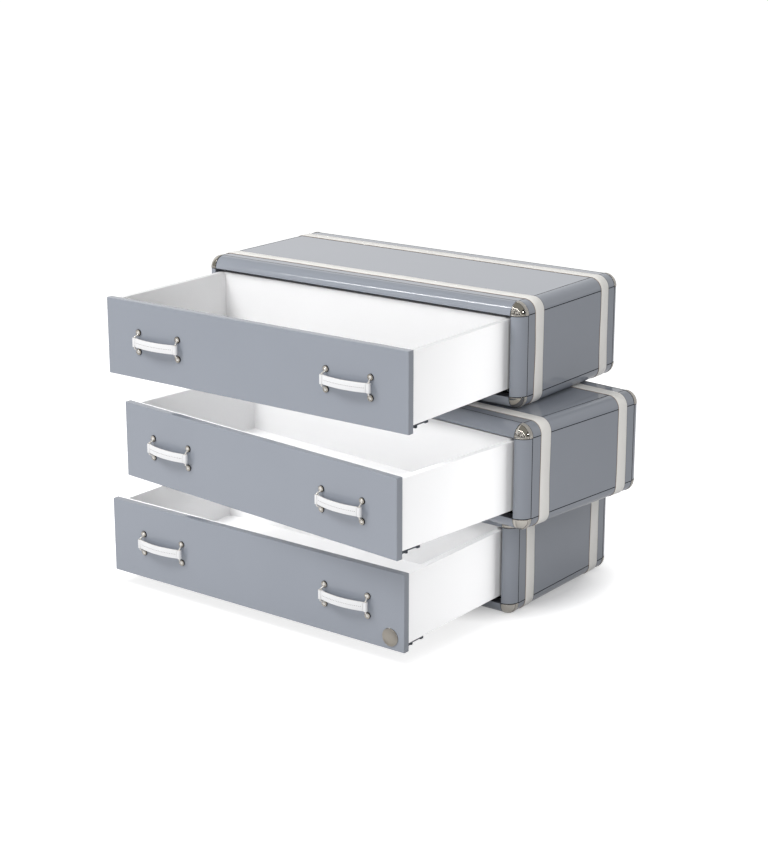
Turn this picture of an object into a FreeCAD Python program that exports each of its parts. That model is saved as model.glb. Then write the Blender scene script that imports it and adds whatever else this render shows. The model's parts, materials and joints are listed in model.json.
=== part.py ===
"""A chest of three drawers: three suitcase-like cases stacked askew, with one drawer in each.

Millimetres, +Z up. The origin is on the floor, in the middle of the underside of the lower
case's front band, which the chest stands on with the rear one. The lower drawer opens towards
-Y. Every case is built in its own frame, with the origin at the middle of its underside, and
is then turned and moved to its place in the stack.
"""
import FreeCAD
import Part
import os
from math import cos, pi, sin, sqrt

V = FreeCAD.Vector
UP = V(0, 0, 1)
TOLERANCE = 1e-6            # for picking edges by their place

# ---- The case -------------------------------------------------------------------------
case_width = 1000.0
case_depth = 468.0
case_height = 264.0
edge_radius = 31.0          # quarter-round mouldings on all twelve edges
board = 18.0                # top, floor and side boards
back_board = 12.0
seam_chamfer = 0.6          # fine bevel round each board, which shows as a seam

# ---- Leather bands and metal corners --------------------------------------------------
band_width = 38.0
band_proud = 1.0            # how far a band stands off the case
band_inset = 61.0           # from the case's front or back plane to the band's edge
cap_proud = 0.4             # how far the dome of a cast ball corner stands off the mouldings
cap_rim_width = 6.0         # raised rim along each edge of the dome
cap_rim_proud = 0.4         # how far the rim stands off the dome

# ---- The drawer -----------------------------------------------------------------------
front_thickness = 18.0
front_side_gap = 1.5        # between the drawer front and the frame, each side
front_bottom_gap = 2.5
front_top_gap = 4.5
front_edge_bevel = 1.0
box_back_gap = 13.0         # between a closed drawer's box and the case's back board
box_board = 16.0            # drawer box sides, front and back
box_side_gap = 5.5          # between the frame and the outside of the box
box_drop = 5.5              # box sides stop this far below the top of the front
box_rise = 17.5             # and this far above its bottom
floor_recess = 13.0         # under the drawer's bottom panel, for the runner
floor_panel = 6.0
floor_groove = 6.0          # depth of the groove in each side
groove_play = 0.3

# ---- The undermount runner: rail on the case, slide, channel on the drawer -------------
runner_sheet = 1.5
runner_play = 0.8           # running gap between two members
rail_set_back = 3.0         # the rail stops this far short of the mouldings at both ends
slide_shorter = 20.0        # the slide is this much shorter than the rail and the channel
slide_height = 16.7
slide_set_back = 4.0        # behind the channel's front end
channel_width = 15.0
channel_side_gap = 1.5      # from the box side to the channel
channel_set_back = 14.0     # from the drawer front to the channel, where the clip hooks on
channel_flange = 13.5       # flange under the box side
rail_flange_height = 22.0   # flange screwed to the case's side
shelf_play = 2.5            # between the rail's shelf and the clip's nub, which passes over it

# ---- Locking clip ---------------------------------------------------------------------
clip_length = 66.0
clip_hook_depth = 12.0
clip_height = 6.5
clip_lever_height = 3.0
clip_knob_length = 10.0     # thumb knob at the lever's free end
clip_knob_height = 6.0
clip_edge = 1.5             # the clip stops short of the outside of the box
clip_nub_width = 6.0
clip_nub_drop = 5.0          # below the hook
clip_nub_set_back = 24.0

# ---- Handles --------------------------------------------------------------------------
handle_offset = 296.0       # middle of each handle, from the middle of the front
handle_drop = 3.0           # handle centre below the middle of the front
handle_span = 130.0         # between rosettes, along the strap
rosette_spread = 49.0       # between the two rosettes of one end
rosette_radius = 7.6
rosette_top_radius = 6.4
rosette_thickness = 2.8
rosette_sides = 16          # sides that stand for the round rim, to keep the many rosettes light
wire_radius = 1.9
wire_sides = 8              # sides that stand for the wire's round section
wire_bend = 3.0             # how far the bend cuts each corner of the wire
wire_stand_off = 13.0       # from the drawer front to the middle of the upright wire
wire_lean = 3.0             # the upright stands outside its rosettes
wire_foot_inset = 4.5       # from the middle of a rosette to the wire's foot
wire_shoulder_play = 0.5    # from the strap's edge to the start of the wire's bend
strap_height = 23.0
strap_thickness = 4.2
strap_bow = 11.0            # middle of the strap stands this much further out
strap_loop_radius = 5.2     # sewn loop at each end, round the wire
strap_loop_sides = 8        # sides that stand for the round outside of each loop
strap_loop_play = 0.4

# ---- Plain disc on the lower drawer ---------------------------------------------------
disc_radius = 22.5
disc_thickness = 3.0
disc_bevel = 0.8
disc_from_side = 40.5
disc_from_bottom = 31.0

# ---- Steel plates that join each case to the one below ---------------------------------
plate_length = 160.0
plate_depth = 60.0
plate_offset = 220.0        # each plate, from the middle of the case below it

# ---- The stack: place and turn of the cases, and how far each drawer stands open --------
middle_shift_x = 114.7      # from the lower case, as the two below are
middle_shift_y = -41.8
middle_turn = -5.94         # degrees, seen from above
upper_shift_x = 2.9
upper_shift_y = 9.8
upper_turn = 0.39
lower_drawer_out = 404.0    # from the drawer front's closed place
middle_drawer_out = 408.0
upper_drawer_out = 412.5
stack = {
    "lower": (0.0, 0.0, 0.0, lower_drawer_out),
    "middle": (middle_shift_x, middle_shift_y, middle_turn, middle_drawer_out),
    "upper": (upper_shift_x, upper_shift_y, upper_turn, upper_drawer_out),
}
LEVELS = list(stack)

# ---- Sizes that follow ----------------------------------------------------------------
half_width = case_width / 2
half_depth = case_depth / 2
jamb = half_width - edge_radius              # inside faces of the side mouldings
core_depth = half_depth - edge_radius        # inside faces of front and back mouldings
sill = edge_radius
lintel = case_height - edge_radius
pitch = case_height + 2 * band_proud         # from one case to the next
front_band_middle = -half_depth + band_inset + band_width / 2

front_width = 2 * (jamb - front_side_gap)
front_bottom = sill + front_bottom_gap
front_top = lintel - front_top_gap
box_half = jamb - box_side_gap
box_inner = box_half - box_board
box_bottom = front_bottom + box_rise
box_top = front_top - box_drop
floor_under = box_bottom + floor_recess
floor_top = floor_under + floor_panel
closed_back = -half_depth + front_thickness  # back of a closed drawer's front
box_depth = half_depth - back_board - box_back_gap - closed_back

channel_outer = box_inner - channel_side_gap
channel_mid = channel_outer - channel_width / 2
slide_half = channel_width / 2 - runner_sheet - runner_play
rail_half = slide_half - runner_sheet - runner_play
slide_top = floor_under - runner_sheet - runner_play
slide_bottom = slide_top - slide_height
rail_top = slide_top - runner_sheet - runner_play
clip_top = box_bottom - runner_sheet
clip_bottom = clip_top - clip_height
nub_bottom = clip_bottom - clip_nub_drop
rail_shelf_top = nub_bottom - shelf_play
rail_shelf_bottom = rail_shelf_top - runner_sheet
rail_flange_top = rail_shelf_bottom + rail_flange_height
rail_front = -core_depth + rail_set_back
runner_length = 2 * (core_depth - rail_set_back)
slide_length = runner_length - slide_shorter
slide_front = closed_back + channel_set_back + slide_set_back

handle_height = (front_bottom + front_top) / 2 - handle_drop
wire_foot_rise = rosette_spread / 2 - wire_foot_inset
wire_shoulder = strap_height / 2 + wire_shoulder_play + wire_bend

nodes = {}


def case_base(level):
    """Height of a case's underside."""
    return band_proud + LEVELS.index(level) * pitch


def placement(level):
    """Turn and place of a case, from the middle of its underside."""
    x, y, turn, _ = stack[level]
    middle = V(x, y - front_band_middle, case_base(level))
    return FreeCAD.Placement(middle, FreeCAD.Rotation(UP, turn))


def put(level, node, shapes, out=0.0):
    """Store the solids of one node, moved out with the drawer and then to the case's place."""
    placed = nodes.setdefault(level + "_" + node, [])
    matrix = placement(level).toMatrix()
    for shape in shapes:
        for solid in shape.Solids:
            copy = solid.copy()
            copy.translate(V(0, -out, 0))
            placed.append(copy.transformed(matrix, True))


def block(x0, x1, y0, y1, z0, z1):
    return Part.makeBox(x1 - x0, y1 - y0, z1 - z0, V(x0, y0, z0))


def both_sides(solid):
    """A solid on the right and its mirror image on the left."""
    return [solid, solid.mirror(V(0, 0, 0), V(1, 0, 0))]


def profile(points, along):
    """Closed outline extruded into a bar."""
    return Part.Face(Part.makePolygon(points + points[:1])).extrude(along)


# ---- Case boards ----------------------------------------------------------------------
def chamfer_outside(solid, axis, side):
    """Bevel the four edges of a board's outer face."""
    edges = []
    for edge in solid.Edges:
        if abs(getattr(edge.CenterOfMass, axis) - side) < TOLERANCE:
            edges.append(edge)
    return solid.makeChamfer(seam_chamfer, edges)


def case_boards(level):
    top = block(-jamb, jamb, -core_depth, core_depth, case_height - board, case_height)
    floor = block(-jamb, jamb, -core_depth, core_depth, 0, board)
    top = chamfer_outside(top, "z", case_height)
    floor = chamfer_outside(floor, "z", 0)
    side = block(half_width - board, half_width, -core_depth, core_depth, sill, lintel)
    side = chamfer_outside(side, "x", half_width)
    back = block(-jamb, jamb, half_depth - back_board, half_depth, sill, lintel)
    back = chamfer_outside(back, "y", half_depth)
    put(level, "case_top", [top])
    put(level, "case_floor", [floor])
    put(level, "case_sides", both_sides(side))
    put(level, "case_back", [back])


# ---- Mouldings and corners ------------------------------------------------------------
def quarter_round(start, u, v, along):
    """Quarter-round bar: its inner edge starts at a point, u and v point outwards."""
    first = start + u * edge_radius
    last = start + v * edge_radius
    middle = start + (u + v) * (edge_radius / sqrt(2))
    outline = Part.Wire([
        Part.LineSegment(start, first).toShape(),
        Part.Arc(first, middle, last).toShape(),
        Part.LineSegment(last, start).toShape(),
    ])
    return Part.Face(outline).extrude(along)


def corner_points():
    """Centres of the eight ball corners, with the signs that point outwards."""
    corners = []
    for sx in (-1, 1):
        for sy in (-1, 1):
            for sz in (-1, 1):
                z = lintel if sz > 0 else sill
                corners.append((V(sx * jamb, sy * core_depth, z), sx, sy, sz))
    return corners


def outward_cube(centre, signs, inset=0.0):
    """Cube from near a ball's centre outwards, larger than the ball."""
    size = 2 * edge_radius
    near = [centre[i] + signs[i] * inset for i in range(3)]
    low = [near[i] - (size if signs[i] < 0 else 0) for i in range(3)]
    return Part.makeBox(size, size, size, V(*low))


def ball_corner(centre, signs):
    """The eighth of a ball that faces outwards, with a raised rim along its three edges."""
    radius = edge_radius + cap_proud
    dome = Part.makeSphere(radius, centre).common(outward_cube(centre, signs))
    rim = Part.makeSphere(radius + cap_rim_proud, centre).common(outward_cube(centre, signs))
    rim = rim.cut(outward_cube(centre, signs, cap_rim_width))
    return dome.fuse(rim)


def case_edges(level):
    along_x = V(2 * jamb, 0, 0)
    along_y = V(0, 2 * core_depth, 0)
    along_z = V(0, 0, lintel - sill)
    frame, edges = [], []
    for sy in (-1, 1):
        group = frame if sy < 0 else edges
        out = V(0, sy, 0)
        for sz, z in ((-1, sill), (1, lintel)):
            start = V(-jamb, sy * core_depth, z)
            group.append(quarter_round(start, out, V(0, 0, sz), along_x))
        for sx in (-1, 1):
            start = V(sx * jamb, sy * core_depth, sill)
            group.append(quarter_round(start, V(sx, 0, 0), out, along_z))
    for sx in (-1, 1):
        for sz, z in ((-1, sill), (1, lintel)):
            start = V(sx * jamb, -core_depth, z)
            edges.append(quarter_round(start, V(sx, 0, 0), V(0, 0, sz), along_y))
    caps = [ball_corner(centre, (sx, sy, sz)) for centre, sx, sy, sz in corner_points()]
    put(level, "case_front_frame", frame)
    put(level, "case_edge_mouldings", edges)
    put(level, "case_corner_caps", caps)


# ---- Leather bands --------------------------------------------------------------------
def rounded_rectangle(half_x, z0, z1, radius, y):
    """Face in an XZ plane."""
    def at(x, z):
        return V(x, y, z)

    short = radius * (1 - 1 / sqrt(2))
    x1, x0 = half_x, -half_x
    parts = [
        Part.LineSegment(at(x0 + radius, z0), at(x1 - radius, z0)),
        Part.Arc(at(x1 - radius, z0), at(x1 - short, z0 + short), at(x1, z0 + radius)),
        Part.LineSegment(at(x1, z0 + radius), at(x1, z1 - radius)),
        Part.Arc(at(x1, z1 - radius), at(x1 - short, z1 - short), at(x1 - radius, z1)),
        Part.LineSegment(at(x1 - radius, z1), at(x0 + radius, z1)),
        Part.Arc(at(x0 + radius, z1), at(x0 + short, z1 - short), at(x0, z1 - radius)),
        Part.LineSegment(at(x0, z1 - radius), at(x0, z0 + radius)),
        Part.Arc(at(x0, z0 + radius), at(x0 + short, z0 + short), at(x0 + radius, z0)),
    ]
    return Part.Face(Part.Wire([part.toShape() for part in parts]))


def case_bands(level):
    bands = []
    for start in (-half_depth + band_inset, half_depth - band_inset - band_width):
        outer = rounded_rectangle(half_width + band_proud, -band_proud,
                                  case_height + band_proud, edge_radius + band_proud, start)
        inner = rounded_rectangle(half_width, 0, case_height, edge_radius, start)
        along = V(0, band_width, 0)
        bands.append(outer.extrude(along).cut(inner.extrude(along)))
    put(level, "case_bands", bands)


# ---- Runner ---------------------------------------------------------------------------
def case_rails(level):
    """Fixed member: an upright fold inside the slide, a shelf and a flange on the side."""
    wall = half_width - board
    left, right = channel_mid - rail_half, channel_mid + rail_half
    sheet = runner_sheet
    outline = [
        (left, slide_bottom), (left, rail_top), (right, rail_top), (right, rail_shelf_top),
        (wall - sheet, rail_shelf_top), (wall - sheet, rail_flange_top),
        (wall, rail_flange_top),
        (wall, rail_shelf_bottom), (right - sheet, rail_shelf_bottom),
        (right - sheet, rail_top - sheet), (left + sheet, rail_top - sheet),
        (left + sheet, slide_bottom),
    ]
    rail = profile([V(x, rail_front, z) for x, z in outline], V(0, runner_length, 0))
    put(level, "case_runner_rails", both_sides(rail))


def inverted_channel(half, top, bottom, start, length):
    left, right = channel_mid - half, channel_mid + half
    sheet = runner_sheet
    outline = [
        (left, bottom), (left, top), (right, top), (right, bottom), (right - sheet, bottom),
        (right - sheet, top - sheet), (left + sheet, top - sheet), (left + sheet, bottom),
    ]
    return profile([V(x, start, z) for x, z in outline], V(0, length, 0))


def runner_slides(level, out):
    slide = inverted_channel(slide_half, slide_top, slide_bottom, slide_front, slide_length)
    put(level, "runner_slides", both_sides(slide), out / 2)


def drawer_channels(level, out):
    """Drawer's member: an inverted channel with a flange that carries the box side."""
    start = closed_back + channel_set_back
    sheet = runner_sheet
    left = channel_outer - channel_width
    outline = [
        (left, box_bottom), (left, floor_under), (channel_outer, floor_under),
        (channel_outer, box_bottom), (box_inner + channel_flange, box_bottom),
        (box_inner + channel_flange, box_bottom - sheet),
        (channel_outer - sheet, box_bottom - sheet),
        (channel_outer - sheet, floor_under - sheet), (left + sheet, floor_under - sheet),
        (left + sheet, box_bottom),
    ]
    channel = profile([V(x, start, z) for x, z in outline], V(0, runner_length, 0))
    put(level, "drawer_runner_channels", both_sides(channel), out)


def drawer_clips(level, out):
    """Plastic clip: a plate that hooks the channel's front end, and a lever with a knob."""
    start = closed_back
    outer = box_half - clip_edge
    plate = block(channel_outer - channel_width, channel_outer, start,
                  start + clip_hook_depth, clip_bottom, floor_under)
    foot = block(channel_outer, outer, start, start + clip_hook_depth, clip_bottom,
                 box_bottom)
    end = start + clip_length
    lever = block(channel_outer, outer, start, end, clip_top - clip_lever_height, clip_top)
    knob = block(channel_outer, outer, end - clip_knob_length, end,
                 clip_top - clip_knob_height, clip_top)
    nub_x = (channel_outer + outer - clip_nub_width) / 2
    nub_y = start + clip_nub_set_back
    nub = block(nub_x, nub_x + clip_nub_width, nub_y, nub_y + clip_nub_width,
                nub_bottom, clip_top)
    clip = plate.fuse([foot, lever, knob, nub]).removeSplitter()
    put(level, "drawer_clips", both_sides(clip), out)


# ---- Drawer box and front -------------------------------------------------------------
def rosette_places():
    """Screw positions in the plane of the drawer front, as x and z."""
    places = []
    for side in (-1, 1):
        for end in (-1, 1):
            x = side * handle_offset + end * handle_span / 2
            for up in (-1, 1):
                places.append((x, handle_height + up * rosette_spread / 2))
    return places


def drawer_front(level, out):
    face = -half_depth
    front = block(-front_width / 2, front_width / 2, face, closed_back, front_bottom,
                  front_top)
    outer = [edge for edge in front.Edges if abs(edge.CenterOfMass.y - face) < TOLERANCE]
    front = front.makeChamfer(front_edge_bevel, outer)
    put(level, "drawer_front", [front], out)


def drawer_box(level, out):
    start, end = closed_back, closed_back + box_depth
    side = block(box_inner, box_half, start, end, box_bottom, box_top)
    groove = block(box_inner, box_inner + floor_groove, start, end, floor_under, floor_top)
    side = side.cut(groove)
    ends = [
        block(-box_inner, box_inner, start, start + box_board, floor_top, box_top),
        block(-box_inner, box_inner, end - box_board, end, floor_top, box_top),
    ]
    reach = box_inner + floor_groove - groove_play
    floor = block(-reach, reach, start, end, floor_under, floor_top)
    put(level, "drawer_sides", both_sides(side), out)
    put(level, "drawer_ends", ends, out)
    put(level, "drawer_bottom", [floor], out)


# ---- Handles --------------------------------------------------------------------------
def even_sided(centre, along, radius, sides):
    """Outline with even sides that stands for a circle across a direction."""
    across = along.cross(V(1, 0, 0)).normalize()
    beside = along.cross(across).normalize()
    half_step = pi / sides
    corner = radius / cos(half_step)
    ring = []
    for step in range(sides):
        turn = (2 * step + 1) * half_step
        ring.append(centre + (across * cos(turn) + beside * sin(turn)) * corner)
    return Part.makePolygon(ring + ring[:1])


def wire_loop(x, lean, z):
    """Bent wire: two feet on the rosettes and an upright that holds the strap's end."""
    foot_y = -half_depth - rosette_thickness
    bar_y = -half_depth - wire_stand_off
    corners = [V(x, foot_y, z + wire_foot_rise), V(x + lean, bar_y, z + wire_shoulder),
               V(x + lean, bar_y, z - wire_shoulder), V(x, foot_y, z - wire_foot_rise)]
    points = [corners[0]]
    for before, here, after in zip(corners, corners[1:], corners[2:]):
        points.append(here + (before - here).normalize() * wire_bend)
        points.append(here + (after - here).normalize() * wire_bend)
    points.append(corners[-1])
    inward = (corners[0] - corners[1]).normalize() * wire_radius
    points[0] += inward
    points[-1] += (corners[-1] - corners[-2]).normalize() * wire_radius
    section = even_sided(points[0], points[1] - points[0], wire_radius, wire_sides)
    wire = Part.makePolygon(points).makePipeShell([section], True, False, 1)
    behind = block(x - case_width, x + case_width, foot_y, 0, 0, case_height)
    return wire.cut(behind)


def rosette(x, z):
    """Round washer with a bevelled rim, under the wire's foot."""
    out = V(0, -1, 0)
    seat = V(x, -half_depth, z)
    rings = [even_sided(seat, out, rosette_radius, rosette_sides),
             even_sided(seat + out * rosette_thickness, out, rosette_top_radius,
                        rosette_sides)]
    return Part.makeLoft(rings, True, True)


def handle_strap(x, z):
    """Leather strap, bowed outwards, with a sewn loop round the wire at each end."""
    reach = handle_span / 2 + wire_lean
    bar_y = -half_depth - wire_stand_off
    low = z - strap_height / 2
    bore = 2 * (wire_radius + strap_loop_play)

    def arc(offset):
        ends = [V(x + side * reach, bar_y - offset, low) for side in (-1, 1)]
        return Part.Arc(ends[0], V(x, bar_y - strap_bow - offset, low), ends[1]), ends

    inner, inner_ends = arc(-strap_thickness / 2)
    outer, outer_ends = arc(strap_thickness / 2)
    outline = Part.Wire([
        inner.toShape(), Part.LineSegment(inner_ends[1], outer_ends[1]).toShape(),
        outer.toShape(), Part.LineSegment(outer_ends[0], inner_ends[0]).toShape(),
    ])
    strap = Part.Face(outline).extrude(UP * strap_height)
    for side in (-1, 1):
        bar_x = x + side * reach
        ring = even_sided(V(bar_x, bar_y, low), UP, strap_loop_radius, strap_loop_sides)
        strap = strap.fuse(Part.Face(ring).extrude(UP * strap_height))
        strap = strap.cut(block(bar_x - bore / 2, bar_x + bore / 2, bar_y - bore / 2,
                                bar_y + bore / 2, low, low + strap_height))
    return strap.removeSplitter()


def drawer_handles(level, out):
    straps, wires, rosettes = [], [], []
    for side in (-1, 1):
        straps.append(handle_strap(side * handle_offset, handle_height))
        for end in (-1, 1):
            x = side * handle_offset + end * handle_span / 2
            wires.append(wire_loop(x, end * wire_lean, handle_height))
    for x, height in rosette_places():
        rosettes.append(rosette(x, height))
    put(level, "handle_straps", straps, out)
    put(level, "handle_loops", wires, out)
    put(level, "handle_rosettes", rosettes, out)


def drawer_disc(level, out):
    place = V(front_width / 2 - disc_from_side, -half_depth, front_bottom + disc_from_bottom)
    disc = Part.makeCylinder(disc_radius, disc_thickness, place, V(0, -1, 0))
    rim = [edge for edge in disc.Edges
           if abs(edge.CenterOfMass.y - place.y + disc_thickness) < TOLERANCE]
    put(level, "drawer_disc", [disc.makeChamfer(disc_bevel, rim)], out)


# ---- Plates between the cases ---------------------------------------------------------
def joining_plates(level):
    """Two plates on a case's top board, as thick as the bands keep the cases apart."""
    plates = []
    for side in (-1, 1):
        middle = side * plate_offset
        plates.append(block(middle - plate_length / 2, middle + plate_length / 2,
                            -plate_depth / 2, plate_depth / 2,
                            case_height, case_height + 2 * band_proud))
    put(level, "case_joining_plates", plates)


def build():
    """Every node of the three levels, then the pieces that only some levels have."""
    for level, (_, _, _, out) in stack.items():
        case_boards(level)
        case_edges(level)
        case_bands(level)
        case_rails(level)
        runner_slides(level, out)
        drawer_front(level, out)
        drawer_box(level, out)
        drawer_channels(level, out)
        drawer_clips(level, out)
        drawer_handles(level, out)
    for level in LEVELS[:-1]:
        joining_plates(level)
    drawer_disc(LEVELS[0], stack[LEVELS[0]][3])


def write():
    """One STEP file for each node."""
    os.makedirs("parts", exist_ok=True)
    for name, solids in nodes.items():
        shape = solids[0] if len(solids) == 1 else Part.makeCompound(solids)
        shape.exportStep("parts/" + name + ".step")


build()
write()
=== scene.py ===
import json
from math import atan2, cos, pi, sin, sqrt

import bmesh
import bpy
from mathutils import Matrix, Vector, noise


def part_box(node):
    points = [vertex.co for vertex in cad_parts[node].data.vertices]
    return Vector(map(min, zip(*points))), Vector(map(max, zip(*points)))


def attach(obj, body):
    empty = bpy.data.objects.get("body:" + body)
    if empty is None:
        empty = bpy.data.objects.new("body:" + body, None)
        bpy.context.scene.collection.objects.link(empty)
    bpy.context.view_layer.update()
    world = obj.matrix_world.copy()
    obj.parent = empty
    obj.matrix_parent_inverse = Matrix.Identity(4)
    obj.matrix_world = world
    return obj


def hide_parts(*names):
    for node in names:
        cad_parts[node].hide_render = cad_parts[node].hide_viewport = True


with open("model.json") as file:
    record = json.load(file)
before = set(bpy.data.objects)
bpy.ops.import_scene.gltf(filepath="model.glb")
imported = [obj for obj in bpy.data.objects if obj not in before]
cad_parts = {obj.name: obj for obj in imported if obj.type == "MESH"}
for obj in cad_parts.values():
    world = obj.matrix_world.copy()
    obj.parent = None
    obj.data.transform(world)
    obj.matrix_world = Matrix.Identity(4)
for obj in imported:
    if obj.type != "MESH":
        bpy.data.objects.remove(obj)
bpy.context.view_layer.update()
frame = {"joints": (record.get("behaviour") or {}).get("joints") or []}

# ---- The three cases: lacquered boards -------------------------------------------------
# Top, floor, side and back boards, and the drawer fronts, are medium-density fibreboard,
# sprayed with grey polyurethane lacquer in many coats and buffed to a high gloss. Inside,
# the cases are dark. The inner faces of their front frames are darkened too, as painted
# shade of the gaps round the drawers.
MM = 0.001
LEVELS = ("lower", "middle", "upper")


def linear(code):
    """Linear colour of an sRGB hex value."""
    channels = []
    for start in (0, 2, 4):
        value = int(code[start:start + 2], 16) / 255
        channels.append(value / 12.92 if value <= 0.04045 else ((value + 0.055) / 1.055) ** 2.4)
    return (*channels, 1.0)


def add_node(tree, kind, inputs=None, **settings):
    """A shader node with its settings, socket values and links."""
    node = tree.nodes.new("ShaderNode" + kind)
    for name, value in settings.items():
        setattr(node, name, value)
    for socket, value in (inputs or {}).items():
        if isinstance(value, bpy.types.NodeSocket):
            tree.links.new(value, node.inputs[socket])
        else:
            node.inputs[socket].default_value = value
    return node


def new_material(name, **values):
    """A material with its shader's plain values; gives the material, its tree and shader."""
    material = bpy.data.materials.new(name)
    material.use_nodes = True
    shader = material.node_tree.nodes["Principled BSDF"]
    for socket, value in values.items():
        shader.inputs[socket.replace("_", " ")].default_value = value
    return material, material.node_tree, shader


def sprayed_lacquer(name, colour, shade, base_roughness, coat, peel_width, peel_height,
                    inside=None):
    """Pigment coat, slightly clouded, under a clear coat with orange peel that alone mirrors.

    With a colour for the inside, a case's faces that look towards its middle take that.
    """
    material, tree, shader = new_material(
        name, Coat_Weight=coat, Coat_Roughness=0.035, Coat_IOR=1.5, Specular_IOR_Level=0.0)
    place = add_node(tree, "TexCoord").outputs["Object"]
    cloud = add_node(tree, "TexNoise", {"Vector": place, "Scale": 1 / (180 * MM), "Detail": 3.0})
    tone = add_node(tree, "MixRGB", {"Fac": cloud.outputs["Fac"], "Color1": linear(colour),
                                     "Color2": linear(shade)})
    if inside:
        # The cases stand one above the other at an even pitch, so what is left of a height
        # after whole pitches, less half a pitch, is the height from the case's own middle.
        # Across and in depth, each case's middle is near enough to the origin.
        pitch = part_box("middle_case_floor")[0][2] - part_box("lower_case_floor")[0][2]
        parts = add_node(tree, "SeparateXYZ", {0: place}).outputs
        height = add_node(tree, "Math", {0: parts["Z"], 1: pitch}, operation="MODULO").outputs[0]
        height = add_node(tree, "Math", {0: height, 1: pitch / 2}, operation="SUBTRACT").outputs[0]
        from_middle = add_node(tree, "CombineXYZ", {0: parts["X"], 1: parts["Y"], 2: height})
        normal = add_node(tree, "NewGeometry").outputs["Normal"]
        outwards = add_node(tree, "VectorMath", {0: from_middle.outputs[0], 1: normal},
                            operation="DOT_PRODUCT").outputs["Value"]
        inwards = add_node(tree, "Math", {0: outwards, 1: 0.0}, operation="LESS_THAN").outputs[0]
        tone = add_node(tree, "MixRGB", {"Fac": inwards, "Color1": tone.outputs["Color"],
                                         "Color2": linear(inside)})
    rub = add_node(tree, "TexNoise", {"Vector": place, "Scale": 1 / (60 * MM), "Detail": 2.0})
    gloss = add_node(tree, "MapRange", {"Value": rub.outputs["Fac"],
                                        "To Min": base_roughness - 0.05,
                                        "To Max": base_roughness + 0.05})
    peel = add_node(tree, "TexNoise", {"Vector": place, "Scale": 1 / peel_width, "Detail": 1.0})
    bump = add_node(tree, "Bump", {"Height": peel.outputs["Fac"], "Distance": peel_height,
                                   "Strength": 1.0})
    tree.links.new(tone.outputs["Color"], shader.inputs["Base Color"])
    tree.links.new(gloss.outputs["Result"], shader.inputs["Roughness"])
    tree.links.new(bump.outputs["Normal"], shader.inputs["Normal"])
    tree.links.new(bump.outputs["Normal"], shader.inputs["Coat Normal"])
    return material


def dress(material, *nodes):
    """Give CAD nodes their finish."""
    for node in nodes:
        bpy.data.objects[node].material_slots[0].material = material


buffed_grey = {"colour": "9297A0", "shade": "8E939C", "base_roughness": 0.45, "coat": 1.0,
               "peel_width": 9 * MM, "peel_height": 0.006 * MM}
grey_lacquer = sprayed_lacquer("grey polyurethane lacquer, buffed", **buffed_grey)
# Faces that look towards a case's middle are dark.
case_lacquer = sprayed_lacquer("grey polyurethane lacquer, dark inside", **buffed_grey,
                               inside="232328")
# The front frames are grey all round; the darker colour on their inner faces is painted shade.
shaded_frame_lacquer = sprayed_lacquer("grey polyurethane lacquer, painted shade inside", **buffed_grey,
                                inside="606269")
for level in LEVELS:
    dress(grey_lacquer, level + "_drawer_front")
    dress(shaded_frame_lacquer, level + "_case_front_frame")
    for node in ("case_top", "case_floor", "case_sides", "case_back", "case_edge_mouldings"):
        dress(case_lacquer, level + "_" + node)


# ---- Seams between boards and mouldings --------------------------------------------------
# The boards meet the quarter-round mouldings, and the mouldings meet the ball corners, with
# a fine gap that lies in shadow. A dark strip in each gap is that shadow, painted. It is drawn
# wider than it is, so that it shows.
seam_width = 2.1 * MM
seam_proud = 0.06 * MM
seam_sunk = 0.5 * MM

top_low, top_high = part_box("lower_case_top")
floor_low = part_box("lower_case_floor")[0]
jamb = top_high[0]                                    # inner edge of the side mouldings
core_depth = (top_high[1] - top_low[1]) / 2           # inner edge of the front and back ones
half_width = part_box("lower_case_sides")[1][0]
edge_radius = half_width - jamb
half_depth = core_depth + edge_radius
half_height = (top_high[2] - floor_low[2]) / 2
half_lintel = half_height - edge_radius               # inner edge of the top and bottom ones
joints = {joint["name"]: joint for joint in frame["joints"]}


def case_place(level):
    """Matrix that brings to a case what is modelled round its middle, its front towards -Y."""
    low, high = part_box(level + "_case_top")
    axis = joints[level + "_drawer_slide"]["axis"]
    middle = ((low[0] + high[0]) / 2, (low[1] + high[1]) / 2, high[2] - half_height)
    return Matrix.Translation(middle) @ Matrix.Rotation(atan2(axis[0], -axis[1]), 4, "Z")


def new_piece(name, bm, place, body, slot, *materials, smooth=True, replaces=None):
    """A finished mesh, put at its place, with its materials and its body; its slot is not used."""
    mesh = bpy.data.meshes.new(name)
    bmesh.ops.transform(bm, matrix=place, verts=bm.verts)
    for face in bm.faces:
        face.smooth = smooth
    bm.to_mesh(mesh)
    bm.free()
    for material in materials:
        mesh.materials.append(material)
    piece = bpy.data.objects.new(name, mesh)
    bpy.context.collection.objects.link(piece)
    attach(piece, body)
    if replaces:
        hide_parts(replaces)


def straight(bm, geom, step, steps=1):
    """Draw geometry out along a line; gives its far end."""
    return bmesh.ops.spin(bm, geom=geom, angle=0, dvec=step, steps=steps)["geom_last"]


def turned(bm, geom, centre, axis, angle, steps):
    """Draw geometry round an axis; gives its far end."""
    return bmesh.ops.spin(bm, geom=geom, cent=centre, axis=axis, angle=angle,
                          steps=steps)["geom_last"]


def section(bm, across, thick, place, radius=0.0, segments=2):
    """Flat four-sided face, its corners rounded: the section that a strip is drawn from."""
    others = set(bm.faces)
    corners = bmesh.ops.create_grid(bm, x_segments=1, y_segments=1, size=0.5)["verts"]
    bmesh.ops.scale(bm, vec=(across, thick, 1), verts=corners)
    if radius:
        bmesh.ops.bevel(bm, geom=corners, offset=radius, offset_type="OFFSET", affect="VERTICES",
                        segments=segments, profile=0.5, material=-1)
    face = next(face for face in bm.faces if face not in others)
    bmesh.ops.transform(bm, matrix=place, verts=face.verts)
    return [face, *face.edges, *face.verts]


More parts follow.
